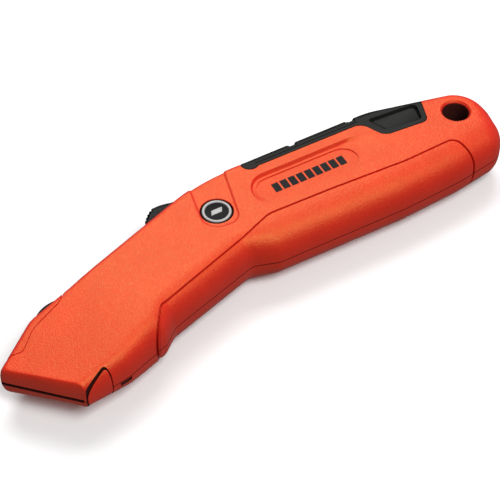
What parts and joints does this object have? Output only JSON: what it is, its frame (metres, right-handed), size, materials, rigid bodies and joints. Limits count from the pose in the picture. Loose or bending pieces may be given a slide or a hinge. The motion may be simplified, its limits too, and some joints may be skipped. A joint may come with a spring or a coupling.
{
  "type": "retractable utility knife",
  "caption": "Retractable utility knife with a two-half painted metal body, thumb slider, nose release button and hinged spare-blade door.",
  "frame": {"origin": "centre of the outline on the plane the knife lies on, its right face down", "axes": "+X to the tail, +Y to the spine, +Z out of the left face"},
  "size_m": [0.1668, 0.05, 0.019],
  "materials": {
    "orange_paint": "satin, finely textured",
    "black_plastic": "satin",
    "carrier_plastic": "matte",
    "blade_steel": "ground",
    "zinc_steel": "zinc plated",
    "badge_black": "gloss",
    "badge_silver": "bright"
  },
  "bodies": {
    "frame": {"left_shell": "orange_paint", "right_shell": "orange_paint", "nose_guide": "orange_paint", "door_pin": "zinc_steel", "main_screw": "zinc_steel", "tail_screw": "zinc_steel", "front_dowel": "zinc_steel", "rear_dowel": "zinc_steel", "badge_disc": "badge_black", "badge_ring": "badge_silver", "badge_emblem": "badge_silver", "blade_clip": "zinc_steel", "spare_blade_1": "blade_steel", "spare_blade_2": "blade_steel", "spare_blade_3": "blade_steel", "release_spring": "zinc_steel"},
    "carriage": {"blade_carrier": "carrier_plastic", "blade": "blade_steel", "blade_stud": "zinc_steel", "slider_spring": "zinc_steel"},
    "thumb": {"slider_button": "black_plastic"},
    "release": {"release_button": "black_plastic"},
    "door": {"storage_door": "black_plastic", "door_latch": "zinc_steel"}
  },
  "joints": [
    {"name": "blade_slide", "type": "slide", "parent": "frame", "child": "carriage", "axis": [-0.9385, -0.3453, 0], "range_m": [0, 0.028]},
    {"name": "thumb_press", "type": "slide", "parent": "carriage", "child": "thumb", "axis": [0.3453, -0.9385, 0], "range_m": [0, 0.0007], "stiffness_N_per_m": 800, "deforming": ["slider_spring"]},
    {"name": "release_press", "type": "slide", "parent": "frame", "child": "release", "axis": [0.3453, -0.9385, 0], "range_m": [0, 0.0011], "stiffness_N_per_m": 500, "deforming": ["release_spring"]},
    {"name": "door_hinge", "type": "hinge", "parent": "frame", "child": "door", "pos_m": [0.0081, 0.022, 0.0095], "axis": [0, 0, 1], "range_deg": [0, 65]}
  ]
}
